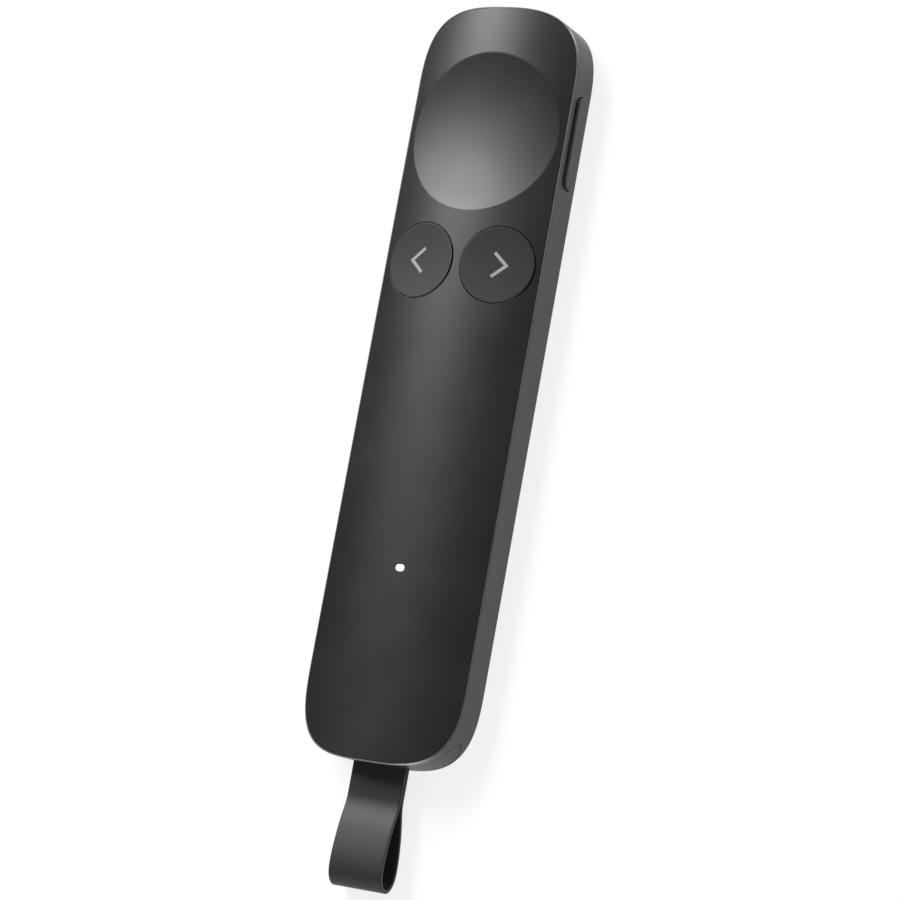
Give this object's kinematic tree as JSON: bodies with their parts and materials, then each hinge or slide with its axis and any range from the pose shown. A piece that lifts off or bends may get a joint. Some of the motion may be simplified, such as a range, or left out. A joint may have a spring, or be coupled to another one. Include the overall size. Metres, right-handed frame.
{
  "type": "wireless presentation clicker",
  "caption": "Slim hand-held presentation remote with a scooped pointer pad, round back and next buttons, a side key, a status light and a pull-out receiver on a short strap.",
  "frame": {"origin": "middle of the flat back that the clicker lies on", "axes": "+Z out of the crowned face, +Y towards the head with the pointer pad, +X towards the wall with the side key"},
  "size_m": [0.0313, 0.1521, 0.0094],
  "materials": {
    "cover": "fine bead-blasted, anodised graphite",
    "frame": "fine bead-blasted, anodised graphite, bevelled edge",
    "window": "moulded, matched to the frame",
    "button": "moulded, fine matt texture",
    "pad": "fine bead-blasted, anodised graphite",
    "mark": "pale printed inlay",
    "key": "moulded, satin",
    "strap": "smooth matt silicone",
    "plug": "moulded, matt",
    "moulding": "black glass-filled moulding",
    "board": "solder-masked laminate",
    "package": "epoxy package",
    "steel": "plain",
    "cell": "silvered pouch film",
    "foam": "adhesive foam",
    "flex": "amber polyimide film",
    "tape": "adhesive film",
    "lamp": "clear, lit white",
    "magnet": "nickel plated"
  },
  "bodies": {
    "casing": {"side_frame": "frame", "head_cap": "window", "front_cover": "cover", "rear_cover": "cover", "back_tape": "tape", "chassis": "moulding", "pad_switch": "package", "back_switch": "package", "next_switch": "package", "side_switch": "package", "main_board": "board", "board_screws": "steel", "cover_screws": "steel", "radio_shield": "steel", "radio_chip": "package", "processor_chip": "package", "motion_sensor": "package", "charger_chip": "package", "haptic_motor": "steel", "antenna_board": "board", "battery": "cell", "battery_foam": "foam", "link_flex": "flex", "tail_board": "board", "status_lamp": "lamp", "light_pipe": "lamp", "charge_socket": "steel", "charge_tongue": "package", "bay_magnet": "magnet"},
    "pointer": {"pointer_pad": "pad"},
    "back_press": {"back_button": "button", "back_mark": "mark"},
    "next_press": {"next_button": "button", "next_mark": "mark"},
    "key": {"side_key": "key"},
    "receiver": {"tail_plug": "plug", "plug_magnet": "magnet", "strap_pin": "steel", "wrist_strap": "strap", "receiver_body": "moulding", "receiver_board": "board", "receiver_shell": "steel", "receiver_tongue": "package"}
  },
  "joints": [
    {"name": "pointer_push", "type": "slide", "parent": "casing", "child": "pointer", "axis": [0, 0, -1], "range_m": [0, 0.0003], "stiffness_N_per_m": 600, "springref_m": -0.001},
    {"name": "back_push", "type": "slide", "parent": "casing", "child": "back_press", "axis": [0.1626, 0, -0.9867], "range_m": [0, 0.00035], "stiffness_N_per_m": 500, "springref_m": -0.001},
    {"name": "next_push", "type": "slide", "parent": "casing", "child": "next_press", "axis": [-0.1626, 0, -0.9867], "range_m": [0, 0.00035], "stiffness_N_per_m": 500, "springref_m": -0.001},
    {"name": "key_push", "type": "slide", "parent": "casing", "child": "key", "axis": [-1, 0, 0], "range_m": [0, 0.0003], "stiffness_N_per_m": 400, "springref_m": -0.001},
    {"name": "receiver_pull", "type": "slide", "parent": "casing", "child": "receiver", "axis": [0, -1, 0], "range_m": [0, 0.024]}
  ]
}
